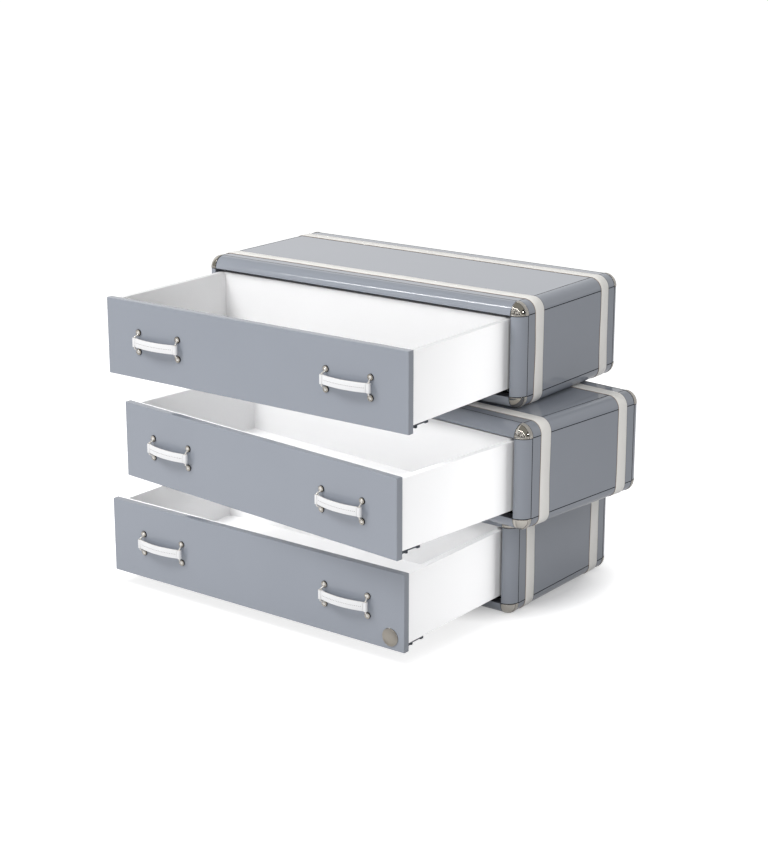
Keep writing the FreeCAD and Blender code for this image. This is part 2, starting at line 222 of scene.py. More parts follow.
def facing(side, up):
    """Matrix whose X goes along side and whose Y goes along up."""
    side, up = Vector(side), Vector(up)
    return Matrix((side, up, side.cross(up))).transposed().to_4x4()


def mirrored_everywhere(bm, axes="XYZ"):
    """Mirror a corner's geometry about the middle, once for each axis."""
    for axis in axes:
        bmesh.ops.mirror(bm, geom=bm.verts[:] + bm.edges[:] + bm.faces[:], matrix=Matrix(),
                         merge_dist=-1, axis=axis)


def closed_outwards(bm, distance=1e-6):
    """Merge a mesh's parts where they meet, and turn its faces outwards."""
    bmesh.ops.remove_doubles(bm, verts=bm.verts, dist=distance)
    bmesh.ops.recalc_face_normals(bm, faces=bm.faces)


# Painted shadow of the joints: near-black, mottled a little.
seam_shadow, tree, shader = new_material("painted shadow in the joints", Roughness=0.6,
                                         Specular_IOR_Level=0.0)
shadow_mottle = add_node(tree, "TexNoise", {"Vector": add_node(tree, "TexCoord").outputs["Object"],
                                    "Scale": 1 / (25 * MM), "Detail": 3.0})
tone = add_node(tree, "MixRGB", {"Fac": shadow_mottle.outputs["Fac"], "Color1": linear("1C1E22"),
                                 "Color2": linear("2A2C31")})
tree.links.new(tone.outputs["Color"], shader.inputs["Base Color"])

AXES = (Vector((1, 0, 0)), Vector((0, 1, 0)), Vector((0, 0, 1)))


def strip_section(bm, middle, side, out):
    """Section of a seam strip: half sunk in the surface that it lies on."""
    depth = seam_proud + seam_sunk
    place = Matrix.Translation(Vector(middle) + Vector(out) * (seam_proud - depth / 2))
    return section(bm, seam_width, depth, place @ facing(side, out))


def case_seams(level):
    """All the seams of a case, on its five boards and round its eight corners."""
    bm = bmesh.new()
    y = AXES[1]
    core = (jamb, core_depth, half_lintel)
    reach = (half_width, half_depth, half_height)
    # Straight seams: on each face, one along each of its two edges, drawn from mid length.
    for out in (0, 2):
        for along in range(3):
            if along == out:
                continue
            side = 3 - out - along
            middle = AXES[out] * reach[out] + AXES[side] * core[side]
            start = strip_section(bm, middle, AXES[side], AXES[out])
            straight(bm, start, AXES[along] * core[along])
    # Curved seams: round the end of each of the corner's three mouldings.
    corner = Vector(core)
    for along in range(3):
        outwards = AXES[(along + 1) % 3]
        middle = corner + outwards * edge_radius - AXES[along] * seam_width / 2
        start = strip_section(bm, middle, AXES[along], outwards)
        turned(bm, start, corner, AXES[along], pi / 2, steps=12)
    mirrored_everywhere(bm)
    # The back board has seams all round; the front has its drawer there.
    for along in (0, 2):
        side = 2 - along
        for sign in (-1, 1):
            middle = y * half_depth + AXES[side] * core[side] * sign - AXES[along] * core[along]
            start = strip_section(bm, middle, AXES[side], y)
            straight(bm, start, AXES[along] * core[along] * 2)
    closed_outwards(bm)
    new_piece(level + "_case_seams", bm, case_place(level), "cases", "grey_lacquer",
              seam_shadow, smooth=False)


for level in LEVELS:
    case_seams(level)


# ---- Ball corners ------------------------------------------------------------------------
# Eight cast corners on each case, nickel-plated: a polished dome with a raised rim. The rim
# is broad and satin at the edge towards the band, with painted shadow in its step, and fine
# and polished at the other two edges.
corner_proud = 0.5 * MM
rim_widths = (1.4 * MM, 10.0 * MM, 1.4 * MM)          # beside the planes across X, Y and Z
rim_step = 0.6 * MM
rim_proud = 0.4 * MM
cast_wall = 2.5 * MM
DOME, RIM, STEP = 0, 1, 2                             # the corner's three materials


def nickel(name, colour, shade, roughness, spot, height, metallic=1.0):
    """Plated metal with faint clouding and a fine cast or brushed unevenness.

    Metal mirrors the room but not the lamps, so plate that they are to light is partly metallic.
    """
    material, tree, shader = new_material(name, Metallic=metallic)
    place = add_node(tree, "TexCoord").outputs["Object"]
    cloud = add_node(tree, "TexNoise", {"Vector": place, "Scale": 1 / (14 * MM), "Detail": 4.0})
    tone = add_node(tree, "MixRGB", {"Fac": cloud.outputs["Fac"], "Color1": linear(colour),
                                     "Color2": linear(shade)})
    fine = add_node(tree, "TexNoise", {"Vector": place, "Scale": 1 / spot, "Detail": 2.0})
    wear = add_node(tree, "MapRange", {"Value": fine.outputs["Fac"], "To Min": roughness * 0.7,
                                       "To Max": roughness * 1.4})
    bump = add_node(tree, "Bump", {"Height": fine.outputs["Fac"], "Distance": height})
    tree.links.new(tone.outputs["Color"], shader.inputs["Base Color"])
    tree.links.new(wear.outputs["Result"], shader.inputs["Roughness"])
    tree.links.new(bump.outputs["Normal"], shader.inputs["Normal"])
    return material


polished_nickel = nickel("polished nickel plate", "C8C4BD", "BBB6AE", 0.06, 5 * MM, 0.01 * MM)
satin_nickel = nickel("satin nickel rim", "C4C0BA", "B3AEA7", 0.42, 1.2 * MM, 0.03 * MM,
                      metallic=0.45)
# Painted shadow: dark plate laid in the corners' rim steps, and in the rosettes' rims and slots.
painted_shadow_plate = nickel("painted shadow in steps, rims and slots", "3E3B37", "2C2A28", 0.5, 1.2 * MM, 0.03 * MM)


def cut(bm, point, normal, **settings):
    """Cut all of a mesh along a plane."""
    bmesh.ops.bisect_plane(bm, geom=bm.verts[:] + bm.edges[:] + bm.faces[:], plane_co=point,
                           plane_no=normal, **settings)


def ball_corners(level):
    """One corner cut from a ball, its rim raised, and mirrored to all eight."""
    bm = bmesh.new()
    radius = edge_radius + corner_proud
    bmesh.ops.create_uvsphere(bm, u_segments=96, v_segments=64, radius=radius)
    for axis, width in zip(AXES, rim_widths):
        cut(bm, (0, 0, 0), axis, clear_inner=True)
        for offset in (width, width + rim_step):
            cut(bm, axis * offset, axis)
    bmesh.ops.remove_doubles(bm, verts=bm.verts, dist=1e-7)
    rim = [vertex for vertex in bm.verts
           if any(value < width + 1e-6 for value, width in zip(vertex.co, rim_widths))]
    for vertex in rim:
        vertex.co += vertex.co.normalized() * rim_proud
    for face in bm.faces:
        from_edge = face.calc_center_median().y - rim_widths[1]
        face.material_index = RIM if from_edge < 0 else STEP if from_edge < rim_step else DOME
    bmesh.ops.recalc_face_normals(bm, faces=bm.faces)
    bmesh.ops.solidify(bm, geom=bm.faces[:], thickness=cast_wall)
    bmesh.ops.translate(bm, vec=(jamb, core_depth, half_lintel), verts=bm.verts)
    mirrored_everywhere(bm)
    closed_outwards(bm, 1e-7)
    new_piece(level + "_ball_corners", bm, case_place(level), "cases", "cast_nickel",
              polished_nickel, satin_nickel, painted_shadow_plate, replaces=level + "_case_corner_caps")


for level in LEVELS:
    ball_corners(level)


# ---- Leather bands -----------------------------------------------------------------------
# Two bands of white bridle leather go right round each case, glued and drawn tight. Their
# cut edges are painted brown, and they wander a little, as hand-laid leather does.
band_low, band_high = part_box("lower_case_bands")
band_thickness = band_high[0] - half_width
band_width = 38 * MM
band_reach = (band_high[1] - band_low[1]) / 2         # the bands' outer edges, from the middle
band_wander = 1.7 * MM
edge_paint = 1.1 * MM


def leather(name, colour, shade, edge, edge_from, roughness):
    """Pigmented full-grain leather; its attribute 'across' says where the cut edges are."""
    material, tree, shader = new_material(name, Sheen_Weight=0.15, Sheen_Roughness=0.4,
                                          Specular_IOR_Level=0.4)
    place = add_node(tree, "TexCoord").outputs["Object"]
    cloud = add_node(tree, "TexNoise", {"Vector": place, "Scale": 1 / (45 * MM), "Detail": 4.0})
    tone = add_node(tree, "MixRGB", {"Fac": cloud.outputs["Fac"], "Color1": linear(colour),
                                     "Color2": linear(shade)})
    across = add_node(tree, "Attribute", attribute_name="across").outputs["Fac"]
    distance = add_node(tree, "Math", {0: across}, operation="ABSOLUTE").outputs[0]
    painted = add_node(tree, "MapRange", {"Value": distance, "From Min": edge_from,
                                          "From Max": edge_from + 0.5 * MM})
    edged = add_node(tree, "MixRGB", {"Fac": painted.outputs["Result"],
                                      "Color1": tone.outputs["Color"], "Color2": linear(edge)})
    pores = add_node(tree, "TexVoronoi", {"Vector": place, "Scale": 1 / (1.6 * MM)})
    worn = add_node(tree, "MapRange", {"Value": cloud.outputs["Fac"], "To Min": roughness - 0.06,
                                       "To Max": roughness + 0.08})
    bump = add_node(tree, "Bump", {"Height": pores.outputs["Distance"], "Distance": 0.12 * MM,
                                   "Strength": 0.6})
    tree.links.new(edged.outputs["Color"], shader.inputs["Base Color"])
    tree.links.new(worn.outputs["Result"], shader.inputs["Roughness"])
    tree.links.new(bump.outputs["Normal"], shader.inputs["Normal"])
    return material


band_leather = leather("white bridle leather, edges painted", "F8F6F2", "F2F0EB", "8B7767",
                       band_width / 2 - edge_paint, 0.42)


def case_band(level, which, side, seed):
    """One band, drawn round the case from the middle of its top and back to it."""
    bm = bmesh.new()
    middle = side * (band_reach - band_width / 2)
    y, z = AXES[1], AXES[2]
    start = Vector((0, middle, half_height + band_thickness / 2))
    ring = section(bm, band_width, band_thickness, Matrix.Translation(start) @ facing(y, z),
                   band_thickness * 0.4)
    long_steps, short_steps, bend_steps = 12, 6, 8
    corners = [(jamb, half_lintel), (jamb, -half_lintel), (-jamb, -half_lintel),
               (-jamb, half_lintel)]
    runs = [((jamb, 0, 0), long_steps), ((0, 0, -2 * half_lintel), short_steps),
            ((-2 * jamb, 0, 0), 2 * long_steps), ((0, 0, 2 * half_lintel), short_steps)]
    for (run, steps), (x, height) in zip(runs, corners):
        ring = straight(bm, ring, Vector(run) / steps, steps)
        ring = turned(bm, ring, (x, 0, height), y, pi / 2, bend_steps)
    straight(bm, ring, (jamb / long_steps, 0, 0), long_steps)
    # The section that it began with is left inside, where the two ends meet, and comes out.
    inside = [face for face in bm.faces if abs(face.normal.x) > 0.99
              and abs(face.calc_center_median().x) < 1e-5 and len(face.verts) > 4]
    bmesh.ops.delete(bm, geom=inside, context="FACES")
    closed_outwards(bm)
    layer = bm.verts.layers.float.new("across")
    for vertex in bm.verts:
        vertex[layer] = vertex.co.y - middle
        edge = noise.noise((vertex.co.x * 6 + seed, vertex.co.z * 9, seed + vertex[layer] * 20))
        vertex.co.y += edge * 2 * band_wander
    new_piece(level + "_" + which + "_band", bm, case_place(level), "cases", "band_leather",
              band_leather, replaces=level + "_case_bands")


# Each band wanders in its own way, so each starts at another place in the noise.
for number, level in enumerate(LEVELS):
    case_band(level, "front", -1, 3.7 + 5.1 * number)
    case_band(level, "rear", 1, 11.3 + 5.1 * number)


# ---- Drawer boxes ------------------------------------------------------------------------
# Sides, front, back and bottom of each drawer are board with a satin white lacquer, and the
# bottom sits in grooves in the sides.
# The satin coat is thin, so the room shows in it only faintly.
white_lacquer = sprayed_lacquer("white satin lacquer", "F2F2F2", "EFEFF0", 0.4, 0.25, 7 * MM,
                                0.004 * MM)
for level in LEVELS:
    for node in ("drawer_sides", "drawer_ends", "drawer_bottom"):
        dress(white_lacquer, level + "_" + node)


# ---- Undermount runners ------------------------------------------------------------------
# Folded steel with a zinc plate: a rail on the case, a slide in the middle and, darker, a
# channel on the drawer. Glass-filled nylon clips lock the channel to the box. Steel plates
# between the cases hold the stack together.
def zinc_plate(name, colour, shade):
    """Rolled sheet with streaks along it, front to back."""
    material, tree, shader = new_material(name, Metallic=1.0)
    place = add_node(tree, "TexCoord").outputs["Object"]
    drawn = add_node(tree, "Mapping", {"Vector": place, "Scale": (1 / (2 * MM), 1 / (60 * MM),
                                                                  1 / (2 * MM))})
    streak = add_node(tree, "TexNoise", {"Vector": drawn.outputs["Vector"], "Detail": 2.0})
    tone = add_node(tree, "MixRGB", {"Fac": streak.outputs["Fac"], "Color1": linear(colour),
                                     "Color2": linear(shade)})
    dull = add_node(tree, "MapRange", {"Value": streak.outputs["Fac"], "To Min": 0.28,
                                       "To Max": 0.5})
    tree.links.new(tone.outputs["Color"], shader.inputs["Base Color"])
    tree.links.new(dull.outputs["Result"], shader.inputs["Roughness"])
    return material


def moulded_nylon():
    """Moulding dulled by the glass fibres at its surface."""
    material, tree, shader = new_material("dark glass-filled nylon")
    place = add_node(tree, "TexCoord").outputs["Object"]
    grain = add_node(tree, "TexNoise", {"Vector": place, "Scale": 1 / (0.8 * MM), "Detail": 2.0})
    tone = add_node(tree, "MixRGB", {"Fac": grain.outputs["Fac"], "Color1": linear("3A4048"),
                                     "Color2": linear("464C55")})
    dull = add_node(tree, "MapRange", {"Value": grain.outputs["Fac"], "To Min": 0.45,
                                       "To Max": 0.6})
    bump = add_node(tree, "Bump", {"Height": grain.outputs["Fac"], "Distance": 0.05 * MM})
    tree.links.new(tone.outputs["Color"], shader.inputs["Base Color"])
    tree.links.new(dull.outputs["Result"], shader.inputs["Roughness"])
    tree.links.new(bump.outputs["Normal"], shader.inputs["Normal"])
    return material


zinc_steel = zinc_plate("zinc-plated steel", "A4A7AB", "8E9196")
dark_zinc = zinc_plate("dark zinc plate", "4A4C51", "3E4045")
clip_nylon = moulded_nylon()
for level in LEVELS:
    for node in ("case_runner_rails", "runner_slides"):
        dress(zinc_steel, level + "_" + node)
    dress(dark_zinc, level + "_drawer_runner_channels")
    dress(clip_nylon, level + "_drawer_clips")
for level in LEVELS[:-1]:
    dress(zinc_steel, level + "_case_joining_plates")


# ---- Handle straps -----------------------------------------------------------------------
# Each handle is a white leather strap, doubled and stitched along the middle, which bows
# away from the front. Its ends are sewn in loops round upright wires.
front_low, front_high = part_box("lower_drawer_front")
front_middle = (front_low[2] + front_high[2]) / 2 - floor_low[2] - half_height
handle_offset = 296 * MM
handle_drop = 3 * MM
handle_height = front_middle - handle_drop
handle_span = 130 * MM
wire_radius = 1.9 * MM
wire_stand_off = 13 * MM
wire_lean = 3 * MM
strap_height = 23 * MM
strap_thickness = 4.2 * MM
strap_bow = 11 * MM
strap_rise = 1.8 * MM                                 # above the middle of the wires
loop_radius = 5.2 * MM
loop_wall = 2.2 * MM
stitch_pitch = 5 * MM
stitch_length = 3.2 * MM
stitch_radius = 0.7 * MM
strap_edge_paint = 0.5 * MM

strap_leather = leather("white strap leather", "E6E6E7", "DFDFE0", "D3D0CC",
                        strap_height / 2 - strap_edge_paint, 0.4)
# The thread is waxed and dull. Its warm grey is painted shade of the holes that the white
# thread sinks into, and its light and dark bands are painted shading of its twist.
shaded_thread, tree, shader = new_material("linen thread, painted shade grey", Roughness=0.6)
twist_shading = add_node(tree, "TexWave", {"Vector": add_node(tree, "TexCoord").outputs["Object"],
                                   "Scale": 1 / (3 * MM), "Distortion": 1.0})
tone = add_node(tree, "MixRGB", {"Fac": twist_shading.outputs["Fac"], "Color1": linear("757370"),
                                 "Color2": linear("8C8A86")})
tree.links.new(tone.outputs["Color"], shader.inputs["Base Color"])


def drawer_place(level):
    """Place of a case's middle, moved out with its drawer."""
    low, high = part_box(level + "_drawer_front")
    place = case_place(level)
    middle = Vector(((low[0] + high[0]) / 2, (low[1] + high[1]) / 2, 0))
    thickness = front_high[1] - front_low[1]
    out = (middle - place.translation * Vector((1, 1, 0))).length - half_depth + thickness / 2
    return place @ Matrix.Translation((0, -out, 0))


def handle_strap(level, which, x):
    """A strap in one bow between its two loops, and the stitches along it."""
    reach = handle_span / 2 + wire_lean
    bar = -half_depth - wire_stand_off
    chord = reach - loop_radius + loop_wall / 2
    bow_radius = (reach ** 2 + strap_bow ** 2) / (2 * strap_bow)
    height = handle_height + strap_rise
    centre = Vector((x, bar - strap_bow + bow_radius, height))
    half_turn = atan2(chord, sqrt(bow_radius ** 2 - chord ** 2))
    z = AXES[2]
    bm = bmesh.new()
    out = Matrix.Rotation(-half_turn, 3, z) @ -AXES[1]
    place = Matrix.Translation(centre + out * bow_radius) @ facing(z, out)
    start = section(bm, strap_height, strap_thickness, place, strap_thickness * 0.36, 4)
    turned(bm, start, centre, z, 2 * half_turn, steps=28)
    for side in (-1, 1):
        hub = Vector((x + side * reach, bar, height))
        place = Matrix.Translation(hub + AXES[0] * (loop_radius - loop_wall / 2))
        ring = section(bm, strap_height, loop_wall, place @ facing(z, AXES[0]),
                       loop_wall * 0.38, 3)
        face = ring[0]
        turned(bm, ring[1:], hub, z, 2 * pi, steps=28)
        bmesh.ops.delete(bm, geom=[face], context="FACES_ONLY")
    closed_outwards(bm)
    layer = bm.verts.layers.float.new("across")
    for vertex in bm.verts:
        vertex[layer] = vertex.co.z - height
    body = level + "_drawer"
    new_piece(level + "_" + which + "_handle_strap", bm, drawer_place(level), body,
              "strap_leather", strap_leather, replaces=level + "_handle_straps")

    bm = bmesh.new()
    count = int((chord * 2 - loop_radius) / stitch_pitch)
    for number in range(count):
        turn = (number - (count - 1) / 2) * stitch_pitch / bow_radius
        out = Matrix.Rotation(turn, 3, z) @ -AXES[1]
        spot = centre + out * (bow_radius + strap_thickness / 2)
        stitch = bmesh.ops.create_icosphere(bm, subdivisions=1, radius=stitch_radius)["verts"]
        bmesh.ops.scale(bm, vec=(stitch_length / (2 * stitch_radius), 0.6, 1), verts=stitch)
        bmesh.ops.transform(bm, matrix=Matrix.Translation(spot) @ Matrix.Rotation(turn, 4, "Z"),
                            verts=stitch)
    new_piece(level + "_" + which + "_handle_stitching", bm, drawer_place(level), body,
              "strap_leather", shaded_thread)


for level in LEVELS:
    for which, side in (("left", -1), ("right", 1)):
        handle_strap(level, which, side * handle_offset)


# ---- Handle wires and rosettes -----------------------------------------------------------
# Each strap's end hangs on a loop of bent nickel wire, brazed at both feet to a round turned
# rosette. A slotted round-head screw through each rosette holds it to the front. The rosettes'
# rims and the screws' slots are painted dark, as shadow.
rosette_spread = 49 * MM
rosette_radius = 8.3 * MM
rosette_rise = 3.2 * MM
rosette_bevel = 0.7 * MM
screw_radius = 4.3 * MM
screw_rise = 1.5 * MM
slot_width = 1.4 * MM
slot_depth = 0.9 * MM
wire_foot_inset = 4.5 * MM
wire_foot_sunk = 0.3 * MM
wire_shoulder = 15.5 * MM
wire_clear = 0.5 * MM                                 # straight wire past the strap's edges
PAINTED_SHADOW, SCREW = 1, 2                                 # materials after the rosette's own

handle_nickel = nickel("aged nickel", "CBC6BE", "A39D93", 0.24, 1.6 * MM, 0.04 * MM)
wire_nickel = nickel("bright nickel wire", "F0EDE8", "DCD8D1", 0.25, 1.6 * MM, 0.03 * MM,
                     metallic=0.45)


def handle_wire(level, name, x, lean):
    """Wire bent forwards from its feet to an upright that the strap's loop turns on."""
    curve = bpy.data.curves.new(name, "CURVE")
    curve.dimensions = "3D"
    curve.bevel_depth = wire_radius
    curve.bevel_resolution = 3
    curve.resolution_u = 6
    curve.use_fill_caps = True
    foot = rosette_spread / 2 - wire_foot_inset
    seat = -half_depth - rosette_rise + wire_foot_sunk
    bar = -half_depth - wire_stand_off
    straight_end = strap_height / 2 + wire_clear
    route = [(x, seat, foot), (x + lean, bar, wire_shoulder), (x + lean, bar, straight_end),
             (x + lean, bar, -straight_end), (x + lean, bar, -wire_shoulder), (x, seat, -foot)]
    spline = curve.splines.new("NURBS")
    spline.points.add(len(route) - 1)
    place = drawer_place(level)
    for point, (px, py, pz) in zip(spline.points, route):
        point.co = (*(place @ Vector((px, py, pz + handle_height))), 1)
    spline.order_u = 3
    spline.use_endpoint_u = True
    curve.materials.append(wire_nickel)
    wire = bpy.data.objects.new(name, curve)
    bpy.context.collection.objects.link(wire)
    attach(wire, level + "_drawer")
    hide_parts(level + "_handle_loops")


def lathe(bm, outline, steps):
    """Turn an outline of (radius, height) points round the Z axis."""
    points = [bm.verts.new((radius, 0, height)) for radius, height in outline]
    lines = [bm.edges.new(pair) for pair in zip(points, points[1:])]
    bmesh.ops.spin(bm, geom=points + lines, axis=(0, 0, 1), angle=2 * pi, steps=steps,
                   use_merge=True)
    closed_outwards(bm)


def rosette(bm, x, height, turn):
    """Add a rosette with its screw, facing forwards, the slot turned from level."""
    new = bmesh.new()
    lathe(new, [(0, screw_rise + rosette_rise),
                (screw_radius * 0.45, rosette_rise + screw_rise * 0.93),
                (screw_radius * 0.8, rosette_rise + screw_rise * 0.62),
                (screw_radius, rosette_rise * 0.9)], steps=24)
    for side in (-1, 1):
        cut(new, (0, side * slot_width / 2, 0), AXES[1])
    strip = [face for face in new.faces
             if abs(face.calc_center_median().y) < slot_width / 2]
    pressed = bmesh.ops.extrude_face_region(new, geom=strip)["geom"]
    for face in new.faces:
        face.material_index = SCREW
    floor = [item for item in pressed if isinstance(item, bmesh.types.BMVert)]
    bmesh.ops.translate(new, vec=(0, 0, -slot_depth), verts=floor)
    # The slot's floor and walls take the painted shadow.
    for face in {face for vertex in floor for face in vertex.link_faces}:
        face.material_index = PAINTED_SHADOW
    seat = rosette_rise * 0.7                             # of the screw, in its countersink
    lathe(new, [(0, 0), (rosette_radius, 0), (rosette_radius, rosette_rise - rosette_bevel),
                (rosette_radius - rosette_bevel, rosette_rise),
                (screw_radius * 1.12, rosette_rise), (screw_radius, seat), (0, seat)], steps=24)
    # The rosette's bevelled rim takes the painted shadow.
    for face in new.faces:
        if face.calc_center_median().xy.length > rosette_radius - rosette_bevel:
            face.material_index = PAINTED_SHADOW
    place = (Matrix.Translation((x, -half_depth, handle_height + height))
             @ Matrix.Rotation(pi / 2, 4, "X") @ Matrix.Rotation(turn, 4, "Z"))
    bmesh.ops.transform(new, matrix=place, verts=new.verts)
    mesh = bpy.data.meshes.new("rosette")
    new.to_mesh(mesh)
    bm.from_mesh(mesh)
    bpy.data.meshes.remove(mesh)
    new.free()


# The screws' slots stand as they came, each at another turn.
turn = 0.4
for level in LEVELS:
    for which, side in (("left", -1), ("right", 1)):
        bm = bmesh.new()
        for end_name, end in (("outer", side), ("inner", -side)):
            x = side * handle_offset + end * handle_span / 2
            handle_wire(level, "_".join((level, which, end_name, "handle_wire")), x,
                        end * wire_lean)
            for up in (-1, 1):
                rosette(bm, x, up * rosette_spread / 2, turn)
                turn += 1.9
        new_piece(level + "_" + which + "_rosettes", bm, drawer_place(level), level + "_drawer",
                  "handle_nickel", handle_nickel, painted_shadow_plate, wire_nickel,
                  replaces=level + "_handle_rosettes")


# ---- Disc --------------------------------------------------------------------------------
# A bare disc of brushed nickel, turned with a low rim, is fixed near the lower right corner of
# the lower drawer's front.
disc_low, disc_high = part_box("lower_drawer_disc")
disc_radius = (disc_high[0] - disc_low[0]) / 2
disc_rise = disc_high[1] - disc_low[1]
disc_rim = 1.6 * MM
disc_bevel = 0.6 * MM
rim_slope = 0.5 * MM
rim_height = disc_rise * 0.8
face_height = disc_rise * 0.62

brushed_nickel = nickel("brushed nickel disc", "B4AEA5", "A09A90", 0.36, 1.0 * MM, 0.03 * MM)
bm = bmesh.new()
lathe(bm, [(0, 0), (disc_radius, 0), (disc_radius, disc_rise * 0.55),
           (disc_radius - disc_bevel, rim_height), (disc_radius - disc_rim, rim_height),
           (disc_radius - disc_rim - rim_slope, face_height), (0, face_height)], steps=64)
middle = ((disc_low[0] + disc_high[0]) / 2, disc_high[1], (disc_low[2] + disc_high[2]) / 2)
new_piece("lower_disc", bm, Matrix.Translation(middle) @ Matrix.Rotation(pi / 2, 4, "X"),
          "lower_drawer", "disc_nickel", brushed_nickel, replaces="lower_drawer_disc")


# ---- Floor, light and camera -------------------------------------------------------------
# A pale floor that fades into a white background, a made-up room for the metal and lacquer to
# mirror, and soft lamps: four for the object, one for the floor, and two for each drawer's
# white box.
def stage_floor():
    """Floor that keeps the object's shadow near it and is white to the camera further off."""
    bm = bmesh.new()
    bmesh.ops.create_grid(bm, x_segments=1, y_segments=1, size=30)
    mesh = bpy.data.meshes.new("floor")
    bm.to_mesh(mesh)
    bm.free()
    floor = bpy.data.objects.new("floor", mesh)
    bpy.context.collection.objects.link(floor)
    material = bpy.data.materials.new("pale studio floor")
    material.use_nodes = True
    tree = material.node_tree
    tree.nodes.remove(tree.nodes["Principled BSDF"])
    rays = add_node(tree, "LightPath").outputs
    seen = add_node(tree, "Math", {0: rays["Is Camera Ray"], 1: rays["Is Glossy Ray"]},
                    operation="MAXIMUM").outputs[0]
    seen = add_node(tree, "Math", {0: seen, 1: rays["Is Transmission Ray"]},
                    operation="MAXIMUM").outputs[0]
    pale = add_node(tree, "BsdfDiffuse", {"Color": linear("CFCFD0")})
    # Its own light grows away from the middle of the object's shadow, until it is white. Near the
    # object it stays low, so the floor is darker there: painted shade round the lamps' shadow.
    spot = add_node(tree, "TexCoord").outputs["Object"]
    shadow_middle = (0.25, 0.15, 0)
    far = add_node(tree, "VectorMath", {0: spot, 1: shadow_middle},
                   operation="DISTANCE").outputs["Value"]
    fade = add_node(tree, "MapRange", {"Value": far, "From Min": 0.26, "From Max": 0.36,
                                       "To Min": 0.05, "To Max": 0.48}).outputs["Result"]
    shown = add_node(tree, "Math", {0: rays["Is Camera Ray"], 1: fade},
                     operation="MULTIPLY").outputs[0]
    lift = add_node(tree, "Math", {0: seen, 1: 0.3, 2: shown},
                    operation="MULTIPLY_ADD").outputs[0]
    white = add_node(tree, "Emission", {"Strength": lift})
    both = add_node(tree, "AddShader", {0: pale.outputs[0], 1: white.outputs[0]})
    output = tree.nodes["Material Output"]
    tree.links.new(both.outputs[0], output.inputs["Surface"])
    mesh.materials.append(material)


def soft_lamp(name, place, target, width, height, power, lit=(), shaded_by=(), spared=()):
    """Rectangular lamp that metal doesn't mirror; it may light or spare some nodes only."""
    lamp = bpy.data.lights.new(name, "AREA")
    lamp.shape = "RECTANGLE"
    lamp.size = width
    lamp.size_y = height
    lamp.energy = power
    holder = bpy.data.objects.new(name, lamp)
    holder.location = place
    holder.rotation_euler = (Vector(target) - Vector(place)).to_track_quat("-Z", "Y").to_euler()
    holder.visible_glossy = False
    holder.visible_camera = False
    bpy.context.collection.objects.link(holder)
    if lit or spared:
        receivers = bpy.data.collections.new(name)
        for node in (*lit, *spared):
            receivers.objects.link(bpy.data.objects[node])
        for link in receivers.collection_objects[len(lit):]:
            link.light_linking.link_state = "EXCLUDE"
        holder.light_linking.receiver_collection = receivers
    if shaded_by:
        blockers = bpy.data.collections.new(name + " blockers")
        for node in shaded_by:
            blockers.objects.link(bpy.data.objects[node])
        holder.light_linking.blocker_collection = blockers


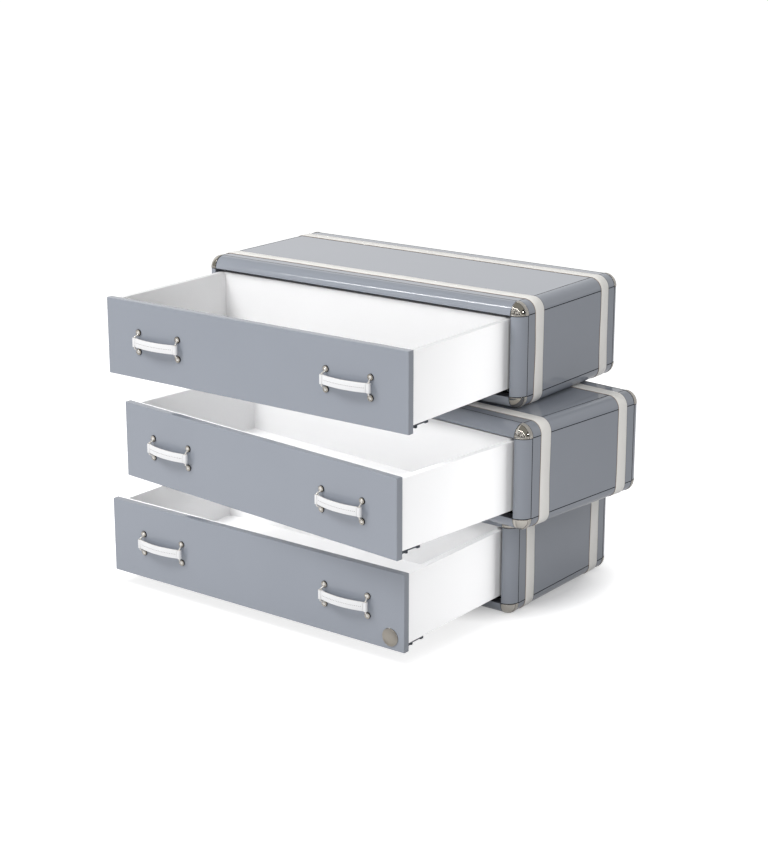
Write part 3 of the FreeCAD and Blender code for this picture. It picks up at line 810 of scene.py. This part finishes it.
def studio_world():
    """White to the camera; to the metal and the lacquer, a white room with a grey ceiling."""
    world = bpy.data.worlds.new("studio")
    world.use_nodes = True
    bpy.context.scene.world = world
    tree = world.node_tree
    rays = add_node(tree, "LightPath").outputs
    ray = add_node(tree, "TexCoord").outputs["Generated"]
    way = add_node(tree, "SeparateXYZ", {0: ray}).outputs

    def calc(operation, *values):
        """Output of a Math node on sockets and numbers."""
        return add_node(tree, "Math", dict(enumerate(values)), operation=operation).outputs[0]

    def ramp(value, low, high):
        """0 up to low and 1 from high on, or the other way round where high is less."""
        return add_node(tree, "MapRange", {"Value": value, "From Min": low,
                                           "From Max": high}).outputs["Result"]

    # In front, the white wall ends at a light frame, which falls away to the right. Behind, it
    # ends at one height all along. The ceiling above it is grey.
    left_end = calc("MULTIPLY_ADD", way["X"], 3.0, 2.3)
    right_end = calc("MULTIPLY_ADD", way["X"], -0.95, 1.1)
    far_right = calc("MULTIPLY_ADD", way["X"], -3.0, 2.55)
    frame_height = calc("MINIMUM", calc("MINIMUM", left_end, right_end),
                        calc("MINIMUM", far_right, 0.8))
    under = calc("SUBTRACT", frame_height, way["Z"])
    front = ramp(way["Y"], 0.04, -0.04)
    wall = add_node(tree, "MixRGB", {"Fac": front, "Color1": ramp(way["Z"], 0.64, 0.60),
                                     "Color2": ramp(under, -0.01, 0.01)}).outputs["Color"]
    # Stands and people's clothes in front of the wall, from the middle to the right.
    stretched = add_node(tree, "Mapping", {"Vector": ray, "Scale": (7, 7, 4)}).outputs["Vector"]
    clutter = add_node(tree, "TexNoise", {"Vector": stretched, "Scale": 1.0, "Detail": 1.0})
    dark = ramp(clutter.outputs["Fac"], 0.46, 0.54)
    dark = calc("MULTIPLY", dark, ramp(way["X"], -0.45, -0.2))
    dark = calc("MAXIMUM", dark, ramp(way["X"], 0.66, 0.72))
    dark = calc("MULTIPLY", dark, ramp(way["Y"], 0.65, 0.5))
    white_wall = (0.95, 0.95, 0.95, 1)
    black_cloth = (0.03, 0.03, 0.03, 1)
    shade = add_node(tree, "MixRGB", {"Fac": dark, "Color1": white_wall,
                                      "Color2": black_cloth}).outputs["Color"]
    room = add_node(tree, "MixRGB", {"Fac": wall, "Color1": linear("9B9A94"), "Color2": shade})
    # The tubes in the frame, and one small lamp on the right in a dark housing.
    half_tube = add_node(tree, "MapRange", {"Value": way["X"], "From Min": -0.5, "From Max": -0.4,
                                            "To Min": 0.022, "To Max": 0.010}).outputs["Result"]
    tube = calc("MULTIPLY", calc("LESS_THAN", calc("ABSOLUTE", under), half_tube), front)
    tube = calc("MULTIPLY", tube, ramp(way["X"], -0.64, -0.59))
    power = add_node(tree, "MapRange", {"Value": way["X"], "From Min": -0.5, "From Max": -0.4,
                                        "To Min": 26.0, "To Max": 8.0}).outputs["Result"]
    tube = calc("MULTIPLY", tube, power)
    way_to_lamp = (0.93, -0.07, 0.36)
    lamp = add_node(tree, "VectorMath", {0: ray, 1: way_to_lamp},
                    operation="DOT_PRODUCT").outputs["Value"]
    room = add_node(tree, "MixRGB", {"Fac": ramp(lamp, 0.96, 0.97),
                                     "Color1": room.outputs["Color"], "Color2": black_cloth})
    tube = calc("ADD", tube, calc("MULTIPLY", calc("GREATER_THAN", lamp, 0.9983), 20.0))
    tube = add_node(tree, "CombineXYZ", {0: tube, 1: tube, 2: tube}).outputs[0]
    room = add_node(tree, "MixRGB", {"Fac": 1.0, "Color1": room.outputs["Color"],
                                     "Color2": tube}, blend_type="ADD")
    mirrored = add_node(tree, "MixRGB", {"Fac": rays["Is Glossy Ray"],
                                         "Color1": (1, 1, 1, 1), "Color2": room.outputs["Color"]})
    strength = calc("ADD", calc("MULTIPLY", rays["Is Diffuse Ray"], -0.55), 1.0)
    tree.links.new(mirrored.outputs["Color"], tree.nodes["Background"].inputs["Color"])
    tree.links.new(strength, tree.nodes["Background"].inputs["Strength"])


stage_floor()
studio_world()
BOX_PARTS = ("drawer_sides", "drawer_ends", "drawer_bottom")
CASE_PARTS = ("case_top", "case_floor", "case_sides", "case_front_frame")
box_nodes = [level + "_" + part for level in LEVELS for part in BOX_PARTS]
soft_lamp("key lamp", (-1.4, -2.7, 3.6), (0, -0.2, 0.4), 1.7, 1.4, 106, spared=["floor"])
soft_lamp("side lamp", (3.0, -0.9, 2.6), (0.5, 0, 0.4), 1.6, 1.6, 18.5, spared=[*box_nodes, "floor"])
soft_lamp("front lamp", (1.3, -4.6, 1.1), (0, -0.4, 0.4), 1.6, 1.6, 53, spared=["floor"])
soft_lamp("floor lamp", (-0.2, -0.8, 3.0), (0.1, -0.2, 0), 3.0, 2.4, 82, lit=["floor"])
soft_lamp("low lamp", (-1.9, -2.3, 0.06), (0, -0.5, 0.45), 0.7, 0.1, 6, spared=[*box_nodes, "floor"])
# The white boxes take more light than the cases: from behind on the right, and from above.
# No drawer shades the upper box from the other lamps, so it needs little from above.
behind = 66 * pi / 180
lamp_distance = 1.5
box_middle = -half_depth + 0.2                        # of an open drawer's box, in depth
for level, top_power in zip(LEVELS, (26, 26, 2.5)):
    lit = [level + "_" + part for part in BOX_PARTS]
    shaded_by = lit + [level + "_" + part for part in CASE_PARTS]
    place = drawer_place(level)
    target = Vector((half_width, box_middle, -0.12))
    spot = target + Vector((cos(behind), sin(behind), 0)) * lamp_distance
    soft_lamp(level + " box side lamp", place @ spot, place @ target, 0.9, 0.4, 33, lit, shaded_by)
    soft_lamp(level + " box top lamp", place @ Vector((-0.5, -0.8, 1.5)),
              place @ Vector((0, box_middle, 0)), 1.2, 0.8, top_power, lit, shaded_by)

# The image is taller than it is wide, and the sensor's width counts for its longer side.
camera = bpy.data.cameras.new("camera")
focal_pixels = 1955.5
longer_side_pixels = 850
camera.sensor_width = 36
camera.lens = focal_pixels / longer_side_pixels * camera.sensor_width
camera_holder = bpy.data.objects.new("camera", camera)
camera_holder.location = (2.9797, -3.8897, 1.8289)
camera_holder.rotation_euler = (73.69 * pi / 180, 0, 37.05 * pi / 180)
bpy.context.collection.objects.link(camera_holder)
bpy.context.scene.camera = camera_holder
bpy.context.scene.view_settings.view_transform = "Standard"
